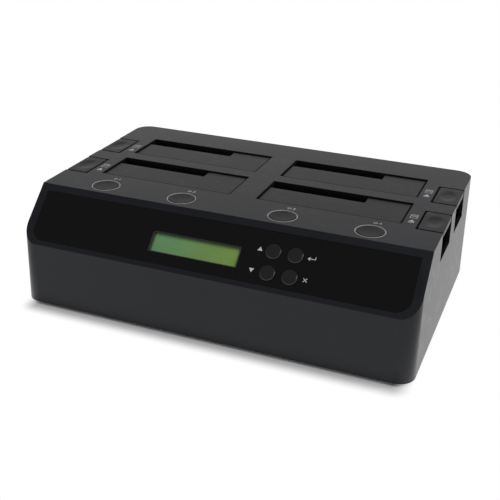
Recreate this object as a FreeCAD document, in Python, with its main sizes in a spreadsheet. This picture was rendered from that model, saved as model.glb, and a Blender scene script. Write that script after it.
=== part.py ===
import FreeCAD, Part
import math
import os
import re
import Sketcher

# Four-bay drive duplicator: a dock that takes bare drives from above and copies them.
# Frame: origin under the middle of the feet, +X to the right, +Y to the rear, +Z up, millimetres.

doc = FreeCAD.newDocument("duplicator")
sheet = doc.addObject("Spreadsheet::Sheet", "Sizes")
Vector = FreeCAD.Vector

sizes = {
    # Housing
    "body_width": 290, "body_depth": 191, "shell_height": 80.5, "foot_height": 2.5,
    "wall": 2.5, "corner_radius": 12, "slope_rise": 34, "slope_run": 34,
    "slope_wall": 3.2, "slope_post": 5,
    # Bays: two columns and two rows of openings for 3.5 inch drives
    "bay_width": 105, "bay_depth": 38, "bay_column": 63.1, "bay_front": -6.2, "row_pitch": 51.3,
    "bay_wall": 1.8, "bay_floor": 2, "bay_floor_top": 20,
    "small_width": 72.7, "small_depth": 11,
    # Lids that tilt down into the bays
    "lid_side_gap": 0.5, "lid_front_gap": 0.7, "lid_back_gap": 1.2, "lid_sink": 0.9,
    "lid_thick": 2.5, "lid_rib": 1.4, "pivot_back": 2.4, "pivot_drop": 4.4,
    "pin_radius": 1, "knuckle_radius": 1.8, "knuckle_length": 7, "knuckle_inset": 14,
    "pin_fit": 0.05,
    # Eject buttons on the side edges, their springs and levers
    "pad_width": 17.7, "pad_length": 32.6, "pad_shift": -7.8, "pad_thick": 3.5,
    "pad_gap": 0.5, "notch_height": 16.5, "dish_width": 14, "dish_length": 24,
    "dish_depth": 0.9, "stem_width": 11, "stem_length": 20, "stem_height": 20,
    "post_width": 4, "post_length": 6, "post_gap": 0.4, "shelf_top": 44, "shelf_thick": 3,
    "spring_half": 5.4, "spring_leaf": 0.8, "spring_wide": 2.4, "lever_arm": 15, "lever_width": 6,
    "lever_pivot_height": 17.6, "lever_shift": -4, "lever_bar": 3, "nose_radius": 2,
    "lever_pin": 1.5, "ear_thick": 2.4, "coil_long": 12,
    # SATA sockets in the bay floors
    "socket_side": 5, "socket_back": 9.5, "socket_long": 42, "socket_wide": 7, "socket_rise": 6,
    # Power buttons along the front of the top
    "power_outer": 100, "power_inner": 38.4, "power_edge": 3.35, "ring_radius": 10.75,
    "ring_width": 1.1, "ring_proud": 0.15, "press_gap": 0.3, "press_stem": 3, "cap_thick": 2.2,
    "power_board_drop": 13, "board_thick": 1.6,
    # Sloped control panel, measured up the slope from its lower edge
    "panel_width": 276.6, "panel_low": 3.8, "panel_high": 42.4, "panel_corner": 10,
    "panel_thick": 1.5, "panel_sink": 0.3, "panel_gap": 0.15,
    "screen_middle": -13.1, "screen_width": 66.8, "screen_low": 12.2, "screen_high": 28,
    "bezel_edge": 1, "glass_drop": 1, "bezel_deep": 5, "switch_side": 8, "switch_tall": 3.6,
    "key_radius": 5.5, "key_left": 42.5, "key_right": 58,
    "key_low": 13, "key_high": 28.4, "key_raise": 0.6, "control_board_drop": 12,
    # Main board and base
    "base_thick": 2, "base_gap": 0.3, "board_height": 12, "board_half": 116,
    "boss_radius": 4, "screw_radius": 1.4, "boss_x": 134, "boss_front": -54, "boss_back": 83, "power_post": 69,
    "vent_long": 60, "vent_wide": 3, "vent_pitch": 7, "board_post_x": 108, "screw_head": 1.5,
    "board_setback": 33.5, "board_gap": 1, "foot_radius": 8, "foot_inset": 22,
    # Rear: fan, rocker switch, power inlet and data ports
    "fan_side": 40, "fan_thick": 10, "fan_across": 84, "fan_height": 45, "fan_bore": 19,
    "hub_radius": 8, "blade_count": 7, "blade_chord": 8, "switch_deep": 14, "rocker_sink": 3.7,
    "grille_rib": 1.6, "grille_slot": 3,
    "port_level": 20, "inlet_across": -84, "inlet_radius": 4.75, "inlet_deep": 8,
    "inlet_face": 12.5, "inlet_body": 14, "usb_across": -56, "usb_width": 12, "usb_tall": 11,
    "esata_across": -34, "esata_width": 12.4, "esata_tall": 6,
    "rocker_across": -112, "rocker_height": 22, "rocker_width": 9, "rocker_tall": 14,
    "rocker_wall": 1.4, "rocker_pin": 1,
}
for row, (alias, size) in enumerate(sizes.items(), 1):
    sheet.set("A%d" % row, alias)
    sheet.set("B%d" % row, str(size))
    sheet.setAlias("B%d" % row, alias)
doc.recompute()


def rule(text):
    """Prefix every named size in a formula with its sheet."""
    return re.sub(r"[a-z_]{3,}", lambda w: "Sizes." + w[0] if w[0] in sizes else w[0], str(text))


def value(text):
    result = sheet.evalExpression(rule(text))
    return float(getattr(result, "Value", result))


def bind(item, prop, text):
    item.setExpression(prop, rule(text))
    return item


def place(item, x="0", y="0", z="0"):
    for axis, text in zip("xyz", (x, y, z)):
        bind(item, "Placement.Base." + axis, text)
    return item


def block(name, low, span):
    box = doc.addObject("Part::Box", name)
    for prop, text in zip(("Length", "Width", "Height"), span):
        bind(box, prop, text)
    return place(box, *low)


turns = {"x": Vector(0, 1, 0), "y": Vector(-1, 0, 0), "z": None}


def rod(name, start, radius, length, axis="z"):
    item = doc.addObject("Part::Cylinder", name)
    if turns[axis]:
        item.Placement = FreeCAD.Placement(Vector(), FreeCAD.Rotation(turns[axis], 90))
    bind(item, "Radius", radius)
    bind(item, "Height", length)
    return place(item, *start)


def fuse(name, items):
    joined = doc.addObject("Part::MultiFuse", name)
    joined.Shapes = items
    joined.Refine = True
    return joined


def group(name, items):
    """Separate solids that share one sub-part."""
    pack = doc.addObject("Part::Compound", name)
    pack.Links = items
    return pack


def cut(name, base, tools):
    result = doc.addObject("Part::Cut", name)
    result.Base = base
    result.Tool = tools[0] if len(tools) == 1 else group(name + "_tools", tools)
    result.Refine = True
    return result


def new_body(name):
    return doc.addObject("PartDesign::Body", name)


def sketch_on(body, name, role, shift=("0", "0", "0")):
    plane = next(f for f in body.Origin.OriginFeatures if f.Role == role)
    sketch = body.newObject("Sketcher::SketchObject", name)
    sketch.AttachmentSupport = [(plane, "")]
    sketch.MapMode = "FlatFace"
    for axis, text in zip("xyz", shift):
        bind(sketch, "AttachmentOffset.Base." + axis, text)
    return sketch


def polygon(sketch, corners):
    """Closed outline whose corners are pairs of formulas."""
    spots = [Vector(value(x), value(y), 0) for x, y in corners]
    first = sketch.GeometryCount
    count = len(spots)
    for i in range(count):
        sketch.addGeometry(Part.LineSegment(spots[i], spots[(i + 1) % count]))
    for i in range(count):
        sketch.addConstraint(
            Sketcher.Constraint("Coincident", first + i, 2, first + (i + 1) % count, 1))
    for i, pair in enumerate(corners):
        for kind, text, now in zip(("DistanceX", "DistanceY"), pair, spots[i]):
            number = sketch.addConstraint(Sketcher.Constraint(kind, -1, 1, first + i, 1, now))
            bind(sketch, "Constraints[%d]" % number, text)
    return sketch


def rectangle(sketch, left, low, wide, tall):
    right = "%s + %s" % (left, wide)
    high = "%s + %s" % (low, tall)
    return polygon(sketch, [(left, low), (right, low), (right, high), (left, high)])


def circle(sketch, x, y, radius):
    spot = Vector(value(x), value(y), 0)
    index = sketch.addGeometry(Part.Circle(spot, Vector(0, 0, 1), value(radius)))
    for kind, text, now in (("DistanceX", x, spot.x), ("DistanceY", y, spot.y)):
        number = sketch.addConstraint(Sketcher.Constraint(kind, -1, 1, index, 3, now))
        bind(sketch, "Constraints[%d]" % number, text)
    number = sketch.addConstraint(Sketcher.Constraint("Radius", index, value(radius)))
    bind(sketch, "Constraints[%d]" % number, radius)
    return sketch


def pad(body, sketch, length, both=False, back=False):
    item = body.newObject("PartDesign::Pad", sketch.Name + "_pad")
    item.Profile = sketch
    item.SideType = "Symmetric" if both else "One side"
    item.Reversed = back
    return bind(item, "Length", length)


def pocket(body, sketch, length, both=False, back=False):
    doc.recompute()
    before = body.Shape.Volume
    item = body.newObject("PartDesign::Pocket", sketch.Name + "_pocket")
    item.Profile = sketch
    item.SideType = "Symmetric" if both else "One side"
    item.Reversed = back
    bind(item, "Length", length)
    doc.recompute()
    if before - body.Shape.Volume < 0.01:
        raise ValueError(sketch.Name + " removes nothing")
    return item


def revolve(body, sketch, name):
    """Full turn about the sketch's own vertical axis."""
    item = body.newObject("PartDesign::Revolution", name)
    item.Profile = sketch
    item.ReferenceAxis = (sketch, ["V_Axis"])
    item.Angle = 360
    return item


def dress(body, base, kind, size, wanted):
    """Fillet or chamfer of every edge of a feature that passes a test."""
    doc.recompute()
    names = ["Edge%d" % (i + 1) for i, e in enumerate(base.Shape.Edges) if wanted(e)]
    item = body.newObject("PartDesign::" + kind, base.Name + "_" + kind.lower())
    item.Base = (base, names)
    bind(item, "Radius" if kind == "Fillet" else "Size", size)
    return item


def along(edge, axis):
    low, high = edge.BoundBox, [edge.BoundBox.XLength, edge.BoundBox.YLength, edge.BoundBox.ZLength]
    return max(high) > 0.01 and abs(high["xyz".index(axis)] - low.DiagonalLength) < 1e-6


slope_angle = "atan(slope_rise / slope_run)"
slope_foot = "foot_height + shell_height - slope_rise"
top = "(foot_height + shell_height)"
back = "(body_depth / 2)"
power_y = "(-body_depth / 2 + slope_run + ring_radius + power_edge)"
board_low_y = "(-body_depth / 2 + board_setback)"
board_high_y = "(body_depth / 2 - wall - board_gap)"


def on_slope(item, x="0", up="0", out="0"):
    """Lay a piece drawn flat onto the sloped front: x across, up the slope, out of it."""
    item.Placement = FreeCAD.Placement(Vector(), FreeCAD.Rotation(Vector(1, 0, 0), 45))
    bind(item, "Placement.Rotation.Angle", slope_angle)
    cosine, sine = "cos(%s)" % slope_angle, "sin(%s)" % slope_angle
    return place(
        item, x,
        "-body_depth / 2 + (%s) * %s - (%s) * %s" % (up, cosine, out, sine),
        "%s + (%s) * %s + (%s) * %s" % (slope_foot, up, sine, out, cosine))


columns = {"left": -1, "right": 1}
rows = {"front": 0, "rear": 1}
bays = [(r + "_" + c, rows[r], columns[c]) for r in rows for c in columns]


def bay_y(row):
    return "(bay_front + %d * row_pitch)" % row


def bay_low(row):
    return "(%s - bay_depth / 2)" % bay_y(row)


def pad_y(row):
    return "(%s + pad_shift)" % bay_y(row)


power_spots = ["-power_outer", "-power_inner", "power_inner", "power_outer"]
power_names = ["power_button_%d" % n for n in (1, 2, 3, 4)]
boss_spots = [(x, y) for x in ("-boss_x", "boss_x") for y in ("boss_front", "boss_back")]
keys = {
    "up_key": ("key_left", "key_high"), "enter_key": ("key_right", "key_high"),
    "down_key": ("key_left", "key_low"), "escape_key": ("key_right", "key_low"),
}


# Top moulding: rounded block, front cut to a slope, hollowed from below
def make_housing():
    def rounded(name, inset, low, high, fall):
        body = new_body(name)
        plan = rectangle(
            sketch_on(body, name + "_plan", "XY_Plane", ("0", "0", low)),
            "-body_width / 2 + " + inset, "-body_depth / 2 + " + inset,
            "body_width - 2 * " + inset, "body_depth - 2 * " + inset)
        block_pad = pad(body, plan, "%s - (%s)" % (high, low))
        dress(body, block_pad, "Fillet", "corner_radius - " + inset, lambda e: along(e, "z"))
        side = sketch_on(body, name + "_side", "YZ_Plane")
        front = "-body_depth / 2 - slope_run"
        foot = "%s - slope_rise - %s" % (slope_foot, fall)
        # The slope's line drops by the wall, taken square to it
        polygon(side, [
            (front, foot), ("-body_depth / 2 + 2 * slope_run", slope_foot + " + 2 * slope_rise - " + fall),
            (front, slope_foot + " + 2 * slope_rise - " + fall)])
        pocket(body, side, "2 * body_width", both=True)
        return body

    outer = rounded("housing_outer", "0", "foot_height", top, "0")
    core = rounded(
        "housing_core", "wall", "foot_height - 1", top + " - wall",
        "slope_wall / cos(%s)" % slope_angle)
    openings = [core]
    for name, row, side in bays:
        openings.append(block(
            "bay_opening_" + name,
            ("%d * bay_column - bay_width / 2" % side, bay_low(row), top + " - 2 * wall"),
            ("bay_width", "bay_depth", "3 * wall")))
        edge = "body_width / 2 - pad_width - pad_gap" if side > 0 else "-body_width / 2 - 1"
        openings.append(block(
            "pad_opening_" + name,
            (edge, pad_y(row) + " - pad_length / 2 - pad_gap", top + " - pad_thick - pad_gap - notch_height"),
            ("pad_width + pad_gap + 1", "pad_length + 2 * pad_gap", "notch_height + 2 * pad_thick")))
    for spot, name in zip(power_spots, power_names):
        openings.append(rod(name + "_hole", (spot, power_y, top + " - 2 * wall"),
                            "ring_radius + pin_fit", "3 * wall"))
    # Slope: a shallow seat for the panel, with the screen window and key holes behind it
    seat = new_body("panel_seat")
    plan = rectangle(
        sketch_on(seat, "panel_seat_plan", "XY_Plane"), "-panel_width / 2 - panel_gap",
        "panel_low - panel_gap", "panel_width + 2 * panel_gap",
        "panel_high - panel_low + 2 * panel_gap")
    seat_pad = pad(seat, plan, "panel_thick + panel_sink + 1")
    middle = value("(panel_low + panel_high) / 2")
    dress(seat, seat_pad, "Fillet", "panel_corner + panel_gap",
          lambda e: along(e, "z") and e.CenterOfMass.y < middle)
    openings.append(on_slope(seat, out="-panel_thick - panel_sink"))
    window = block("screen_opening", ("0", "0", "0"),
                   ("screen_width + 2 * bezel_edge", "screen_high - screen_low + 2 * bezel_edge",
                    "4 * slope_wall"))
    openings.append(on_slope(window, "screen_middle - screen_width / 2 - bezel_edge",
                             "screen_low - bezel_edge", "-2 * slope_wall"))
    for name, (x, up) in keys.items():
        hole = rod(name + "_hole", ("0", "0", "0"), "key_radius + press_gap + 0.4", "4 * slope_wall")
        openings.append(on_slope(hole, x, up, "-2 * slope_wall"))
    # Rear: grille slots inside the fan's circle, rocker window, inlet and port mouths
    openings += rear_openings()
    shell = cut("housing_shell", outer, openings)
    posts = []
    for x, y in boss_spots:
        post = rod("screw_post", (x, y, "foot_height + base_thick"), "boss_radius",
                   "shell_height - base_thick - wall")
        posts.append(post)
    for x in ("-power_post", "power_post"):
        posts.append(rod("board_post", (x, power_y, top + " - power_board_drop"), "3",
                         "power_board_drop - wall"))
    # Posts under the slope that carry the control board
    for x in ("-62", "76"):
        for up in ("8", "33"):
            post = block("slope_post", ("0", "0", "0"), (
                "slope_post", "slope_post", "control_board_drop - slope_wall + 0.5"))
            posts.append(on_slope(post, x + " - slope_post / 2", up + " - slope_post / 2",
                                  "-control_board_drop"))
    shell_with_posts = fuse("housing_body", [shell] + posts)
    bores = [rod("screw_bore", (x, y, "foot_height"), "screw_radius", "14") for x, y in boss_spots]
    bores += [rod("post_bore", (x, power_y, top + " - power_board_drop - 1"), "screw_radius", "7")
              for x in ("-power_post", "power_post")]
    housing = cut("housing", shell_with_posts, bores)
    return housing


def rear_openings():
    cuts = []
    body = new_body("grille")
    ring = circle(sketch_on(body, "grille_round", "XZ_Plane"), "0", "0", "fan_bore - 0.5")
    pad(body, ring, "2 * wall", both=True)
    ribs = sketch_on(body, "grille_bars", "XZ_Plane")
    rectangle(ribs, "-fan_bore", "-3 * (grille_rib + grille_slot) - grille_rib / 2",
              "2 * fan_bore", "grille_rib")
    bar = pocket(body, ribs, "4 * wall", both=True)
    rise = body.newObject("PartDesign::LinearPattern", "grille_rows")
    rise.Originals = [bar]
    rise.Direction = (ribs, ["V_Axis"])
    rise.Occurrences = 7
    bind(rise, "Length", "6 * (grille_rib + grille_slot)")
    body.Tip = rise
    place(body, "fan_across", back + " - wall / 2", "fan_height")
    cuts.append(body)
    for name, across, level, wide, tall in (
            ("usb_mouth", "usb_across", "port_level", "usb_width", "usb_tall"),
            ("esata_mouth", "esata_across", "port_level", "esata_width", "esata_tall"),
            ("inlet_mouth", "inlet_across", "port_level", "inlet_face", "inlet_face"),
            ("rocker_window", "rocker_across", "rocker_height", "rocker_width + 3", "rocker_tall + 3")):
        cuts.append(block(name, ("%s - (%s) / 2" % (across, wide), back + " - 2 * wall",
                                 "%s - (%s) / 2" % (level, tall)), (wide, "3 * wall", tall)))
    return cuts


def cone(name, start, low_radius, high_radius, height):
    item = doc.addObject("Part::Cone", name)
    bind(item, "Radius1", low_radius)
    bind(item, "Radius2", high_radius)
    bind(item, "Height", height)
    return place(item, *start)


board_spots = [(x, y) for x in ("-board_post_x", "board_post_x")
               for y in (board_low_y + " + 10", board_high_y + " - 14")]


# Base: plate inside the skirt of the housing, with vents and posts that carry the main board
def make_base_plate():
    body = new_body("base_body")
    inset = "(wall + base_gap)"
    plan = rectangle(
        sketch_on(body, "base_plan", "XY_Plane", ("0", "0", "foot_height")),
        "-body_width / 2 + " + inset, "-body_depth / 2 + " + inset,
        "body_width - 2 * " + inset, "body_depth - 2 * " + inset)
    plate = pad(body, plan, "base_thick")
    dress(body, plate, "Fillet", "corner_radius - " + inset, lambda e: along(e, "z"))
    vent = sketch_on(body, "base_vent", "XY_Plane", ("0", "0", "foot_height - 1"))
    rectangle(vent, "-vent_long / 2", "-vent_pitch * 4", "vent_long", "vent_wide")
    slot = pocket(body, vent, "base_thick + 2", back=True)
    slots = body.newObject("PartDesign::LinearPattern", "base_vents")
    slots.Originals = [slot]
    slots.Direction = (vent, ["V_Axis"])
    slots.Occurrences = 9
    bind(slots, "Length", "8 * vent_pitch")
    body.Tip = slots
    posts = [rod("base_post", (x, y, "foot_height + base_thick"), "3.5",
                 "board_height - foot_height - base_thick") for x, y in board_spots]
    whole = fuse("base_with_posts", [body] + posts)
    bores = [rod("base_bore", (x, y, "foot_height - 1"), "screw_radius + 0.3", "base_thick + 2")
             for x, y in boss_spots]
    bores += [rod("post_bore", (x, y, "foot_height + base_thick"), "screw_radius", "20")
              for x, y in board_spots]
    return cut("base_plate", whole, bores)


def make_feet():
    feet = []
    for x in ("-body_width / 2 + foot_inset", "body_width / 2 - foot_inset"):
        for y in ("-body_depth / 2 + foot_inset", "body_depth / 2 - foot_inset"):
            low = cone("foot_edge", (x, y, "0"), "foot_radius - 0.8", "foot_radius", "0.8")
            high = rod("foot_block", (x, y, "0.8"), "foot_radius", "foot_height - 0.8")
            feet.append(fuse("foot", [low, high]))
    return group("feet", feet)


def screw(name, x, y, seat, length, down=False):
    """Pan-head screw: the head lies against the seat height, the shank goes up from it."""
    head_low = "%s - screw_head" % seat if not down else seat
    shank_low = seat if not down else "%s - %s" % (seat, length)
    head = rod(name + "_head", (x, y, head_low), "2 * screw_radius", "screw_head")
    shank = rod(name + "_shank", (x, y, shank_low), "screw_radius - pin_fit", length)
    return fuse(name, [head, shank])


def make_screws():
    low = [screw("base_screw", x, y, "foot_height", "11") for x, y in boss_spots]
    high = [screw("board_screw", x, y, "board_height + board_thick", "6", down=True)
            for x, y in board_spots]
    level = top + " - power_board_drop - board_thick"
    high += [screw("power_screw", x, power_y, level, "6") for x in ("-power_post", "power_post")]
    return [group("base_screws", low), group("board_screws", high)]


# One bay: walls and floor below each opening, with the shelf and ears of the eject parts
def make_well(name, row, side):
    left = "(%d * bay_column - bay_width / 2)" % side
    low, wall_in = bay_low(row), "bay_wall"
    outer = block("well_outer_" + name,
                  (left + " - bay_wall", low + " - bay_wall", "bay_floor_top - bay_floor"),
                  ("bay_width + 2 * bay_wall", "bay_depth + 2 * bay_wall",
                   top + " - wall - bay_floor_top + bay_floor"))
    inner = block("well_inner_" + name, (left, low, "bay_floor_top"),
                  ("bay_width", "bay_depth", "shell_height"))
    edge = "(bay_column + bay_width / 2 + bay_wall)"
    spot = "(body_width / 2 - pad_width / 2)"
    lever_y = "(%s + lever_shift)" % bay_y(row)
    ear_long = "(%s - lever_arm + 3.5 - %s)" % (spot, edge)
    shelf_long = "(%s + spring_half + 0.5 - %s)" % (spot, edge)

    def beside(tag, start, span, y, wide, z, tall):
        """Block outside the outer wall; start and span run outward from the centre plane."""
        x = start if side > 0 else "-(%s) - (%s)" % (start, span)
        return block(tag + "_" + name, (x, y, z), (span, wide, tall))

    adds = [beside("shelf", edge + " - 0.5", shelf_long + " + 0.5", lever_y + " - spring_half - 0.5",
                   "2 * spring_half + 1", "shelf_top - shelf_thick", "shelf_thick")]
    for gap_side in ("-lever_width / 2 - press_gap - ear_thick", "lever_width / 2 + press_gap"):
        adds.append(beside("ear", edge + " - 0.5", ear_long + " + 0.5", lever_y + " + " + gap_side,
                           "ear_thick", "lever_pivot_height - 3.4", "9"))
    cuts = [inner]
    cuts.append(beside("lever_slot", spot + " - 2 * lever_arm - 3", "lever_arm + 3 + 3",
                       lever_y + " - lever_width / 2 - press_gap", "lever_width + 2 * press_gap",
                       "lever_pivot_height - 4", "11"))
    cuts.append(beside("post_hole", spot + " - post_width / 2 - press_gap", "post_width + 2 * press_gap",
                       lever_y + " - post_length / 2 - press_gap", "post_length + 2 * press_gap",
                       "shelf_top - 2 * shelf_thick", "3 * shelf_thick"))
    pivot = spot + " - lever_arm" if side > 0 else "-(%s - lever_arm)" % spot
    cuts.append(rod("ear_bore_" + name, (pivot, lever_y + " - 12", "lever_pivot_height"),
                    "lever_pin + pin_fit", "24", "y"))
    cuts.append(rod("pin_bore_" + name, (left + " - 2 * bay_wall", low + " + pivot_back",
                                         top + " - lid_sink - pivot_drop"),
                    "pin_radius + pin_fit", "bay_width + 4 * bay_wall", "x"))
    cuts.append(block("socket_hole_" + name,
                      (left + " + socket_side - 0.4", low + " + bay_depth - socket_back - 0.4",
                       "bay_floor_top - 2 * bay_floor"),
                      ("socket_long + 0.8", "socket_wide + 0.8", "3 * bay_floor")))
    whole = fuse("well_body_" + name, [outer] + adds)
    return cut("bay_well_" + name, whole, cuts)


def make_sockets():
    sockets = []
    for name, row, side in bays:
        x = "(%d * bay_column - bay_width / 2 + socket_side)" % side
        y = "(%s + bay_depth - socket_back)" % bay_low(row)
        base = block("socket_base", (x, y, "board_height + board_thick"),
                     ("socket_long", "socket_wide", "bay_floor_top - board_height - board_thick"))
        power = block("socket_power", (x + " + 1.5", y + " + 1.6", "bay_floor_top - 1"),
                      ("21.5", "1.6", "socket_rise + 1"))
        data = block("socket_data", (x + " + 27", y + " + 1.6", "bay_floor_top - 1"),
                     ("11", "1.6", "socket_rise + 1"))
        sockets.append(fuse("socket", [base, power, data]))
    return group("sata_sockets", sockets)


# Lid: plate with the 2.5 inch cut-out at the rear left, ribs and two hinge knuckles
def make_lid(name, row, side):
    body = new_body("lid_" + name)
    half = "(bay_width / 2 - lid_side_gap)"
    front, rear = "(-bay_depth / 2 + lid_front_gap)", "(bay_depth / 2 - lid_back_gap)"
    notch_x = "(-bay_width / 2 + small_width)"
    notch_y = "(bay_depth / 2 - small_depth)"
    plan = polygon(sketch_on(body, "lid_plan", "XY_Plane", ("0", "0", "-lid_thick")), [
        ("-" + half, front), (half, front), (half, rear), (notch_x, rear),
        (notch_x, notch_y), ("-" + half, notch_y)])
    plate = pad(body, plan, "lid_thick")
    rib = sketch_on(body, "lid_rib_row", "XY_Plane", ("0", "0", "-lid_thick - lid_rib"))
    rectangle(rib, "-" + half + " + 2", notch_y + " - 3", "2 * %s - 4" % half, "1.2")
    pad(body, rib, "lid_rib")
    cross = sketch_on(body, "lid_rib_cross", "XY_Plane", ("0", "0", "-lid_thick - lid_rib"))
    rectangle(cross, "-" + half + " + 2", front + " + 5", "1.2", "%s - 2.4 - %s - 5" % (notch_y, front))
    bar = pad(body, cross, "lid_rib")
    bars = body.newObject("PartDesign::LinearPattern", "lid_ribs")
    bars.Originals = [bar]
    bars.Direction = (cross, ["H_Axis"])
    bars.Occurrences = 5
    bind(bars, "Length", "2 * %s - 5.2" % half)
    body.Tip = bars
    axis_y, axis_z = "(-bay_depth / 2 + pivot_back)", "(-pivot_drop)"
    start = "%s - knuckle_inset" % half
    web = sketch_on(body, "lid_web", "YZ_Plane", ("0", "0", start))
    rectangle(web, axis_y + " - knuckle_radius", axis_z, "2 * knuckle_radius",
              "pivot_drop - lid_thick / 2")
    web_pad = pad(body, web, "knuckle_length")
    round_part = sketch_on(body, "lid_knuckle", "YZ_Plane", ("0", "0", start))
    circle(round_part, axis_y, axis_z, "knuckle_radius")
    round_pad = pad(body, round_part, "knuckle_length")
    pair = body.newObject("PartDesign::Mirrored", "lid_knuckles")
    pair.Originals = [web_pad, round_pad]
    plane = next(f for f in body.Origin.OriginFeatures if f.Role == "YZ_Plane")
    pair.MirrorPlane = (plane, [""])
    body.Tip = pair
    bore = sketch_on(body, "lid_bore", "YZ_Plane")
    circle(bore, axis_y, axis_z, "pin_radius + pin_fit")
    pocket(body, bore, "2 * bay_width", both=True)
    return place(body, "%d * bay_column" % side, bay_y(row), top + " - lid_sink")


def make_lid_pins():
    pins, coils = [], []
    for name, row, side in bays:
        y, z = bay_low(row) + " + pivot_back", top + " - lid_sink - pivot_drop"
        left = "(%d * bay_column - bay_width / 2)" % side
        pins.append(rod("lid_pin", (left + " - bay_wall + 0.2", y, z), "pin_radius",
                        "bay_width + 2 * bay_wall - 0.4", "x"))
        middle = "%d * bay_column - coil_long / 2" % side
        outer = rod("coil_outer", (middle, y, z), "pin_radius + 0.5", "coil_long", "x")
        inner = rod("coil_inner", (middle + " - 1", y, z), "pin_radius + pin_fit", "coil_long + 2", "x")
        coils.append(cut("coil", outer, [inner]))
    return [group("lid_pins", pins), group("lid_springs", coils)]


# Eject button: pad flush with the top and the side, finger dish, stem and push post
def make_eject_button(name, row, side):
    body = new_body("eject_solid_" + name)
    plan = rectangle(sketch_on(body, "pad_plan", "XY_Plane", ("0", "0", "-pad_thick")),
                     "-pad_width / 2", "-pad_length / 2", "pad_width", "pad_length")
    slab = pad(body, plan, "pad_thick")
    dress(body, slab, "Chamfer", "0.3", lambda e: along(e, "y") and e.CenterOfMass.z > -0.1)
    stem = rectangle(sketch_on(body, "stem_plan", "XY_Plane", ("0", "0", "-pad_thick - stem_height")),
                     "-stem_width / 2", "-stem_length / 2", "stem_width", "stem_length")
    pad(body, stem, "stem_height")
    low = "(lever_pivot_height + nose_radius + post_gap)"
    post = rectangle(
        sketch_on(body, "post_plan", "XY_Plane", ("0", "0", "%s - %s" % (low, top))),
        "-post_width / 2", "lever_shift - pad_shift - post_length / 2", "post_width", "post_length")
    pad(body, post, "%s - %s - pad_thick - stem_height" % (top, low))
    # Finger dish: shallow bowl between a wide oval and a narrow one
    ovals = []
    for level, share in (("0.01", "1"), ("-dish_depth * 0.6", "0.86"), ("-dish_depth", "0.6")):
        oval = doc.addObject("Part::Ellipse", "dish_oval")
        bind(oval, "MajorRadius", "dish_length / 2 * " + share)
        bind(oval, "MinorRadius", "dish_width / 2 * " + share)
        oval.Placement = FreeCAD.Placement(Vector(), FreeCAD.Rotation(Vector(0, 0, 1), 90))
        ovals.append(place(oval, "0", "0", level))
    bowl = doc.addObject("Part::Loft", "dish_bowl")
    bowl.Sections = ovals
    bowl.Solid = True
    bowl.Ruled = True
    pressed = cut("eject_button_" + name, body, [bowl])
    return place(pressed, "%d * (body_width / 2 - pad_width / 2)" % side, pad_y(row), top)


# Return spring between the shelf and the stem: two folded leaves, one on each side of the post
def make_eject_spring(name, row, side):
    tall = "(%s - pad_thick - stem_height - shelf_top - 0.1)" % top
    rise = "((%s - spring_leaf) / 3)" % tall
    fold = "(spring_half * spring_leaf / %s)" % rise
    leaves = []
    for tag, shift in (("front", "-post_length / 2 - post_gap - spring_wide"),
                       ("rear", "post_length / 2 + post_gap")):
        body = new_body("leaf_%s_%s" % (tag, name))
        # Three slanted runs, each end folded back over the one before
        sketch = sketch_on(body, "leaf_run", "XZ_Plane")
        polygon(sketch, [
            ("-spring_half", "0"), ("spring_half", rise), ("spring_half", rise + " + spring_leaf"),
            ("-spring_half + " + fold, "2 * %s + spring_leaf / 2" % rise),
            ("spring_half", "3 * " + rise), ("spring_half", "3 * %s + spring_leaf" % rise),
            ("-spring_half", "2 * %s + spring_leaf" % rise), ("-spring_half", "2 * " + rise),
            ("spring_half - " + fold, rise + " + spring_leaf / 2"), ("-spring_half", "spring_leaf")])
        pad(body, sketch, "spring_wide", both=True)
        leaves.append(place(body, "%d * (body_width / 2 - pad_width / 2)" % side,
                            "%s + lever_shift + %s + spring_wide / 2" % (bay_y(row), shift),
                            "shelf_top + 0.05"))
    return group("eject_spring_" + name, leaves)


# Lift lever: nose under the post, toe under the drive, boss on its pin
def make_lever(name, row, side):
    body = new_body("eject_lever_" + name)
    thick = "lever_width"
    bar = sketch_on(body, "lever_bar", "XZ_Plane")
    rectangle(bar, "-lever_arm - nose_radius", "-lever_bar - 0.5", "2 * (lever_arm + nose_radius)",
              "lever_bar")
    pad(body, bar, thick, both=True)
    for tag, x, radius in (("nose", "lever_arm", "nose_radius"), ("toe", "-lever_arm", "nose_radius"),
                           ("boss", "0", "2 * lever_pin")):
        spot = sketch_on(body, "lever_" + tag, "XZ_Plane")
        circle(spot, x, "0", radius)
        pad(body, spot, thick, both=True)
    bore = sketch_on(body, "lever_bore", "XZ_Plane")
    circle(bore, "0", "0", "lever_pin + pin_fit")
    pocket(body, bore, "2 * lever_width", both=True)
    return place(body, "%d * (body_width / 2 - pad_width / 2 - lever_arm)" % side,
                 bay_y(row) + " + lever_shift", "lever_pivot_height")


def make_lever_pins():
    pins = []
    for name, row, side in bays:
        x = "%d * (body_width / 2 - pad_width / 2 - lever_arm)" % side
        reach = "(lever_width / 2 + press_gap + ear_thick)"
        pins.append(rod("lever_pin", (x, bay_y(row) + " + lever_shift - " + reach,
                                      "lever_pivot_height"), "lever_pin", "2 * " + reach, "y"))
    return group("lever_pins", pins)


def press_stem(body, reach, root):
    """Square stem under a cap or key, down into its switch."""
    stem = sketch_on(body, "stem_plan", "XY_Plane", ("0", "0", "-" + reach))
    rectangle(stem, "-press_stem / 2", "-press_stem / 2", "press_stem", "press_stem")
    pad(body, stem, reach + " - " + root)


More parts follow.
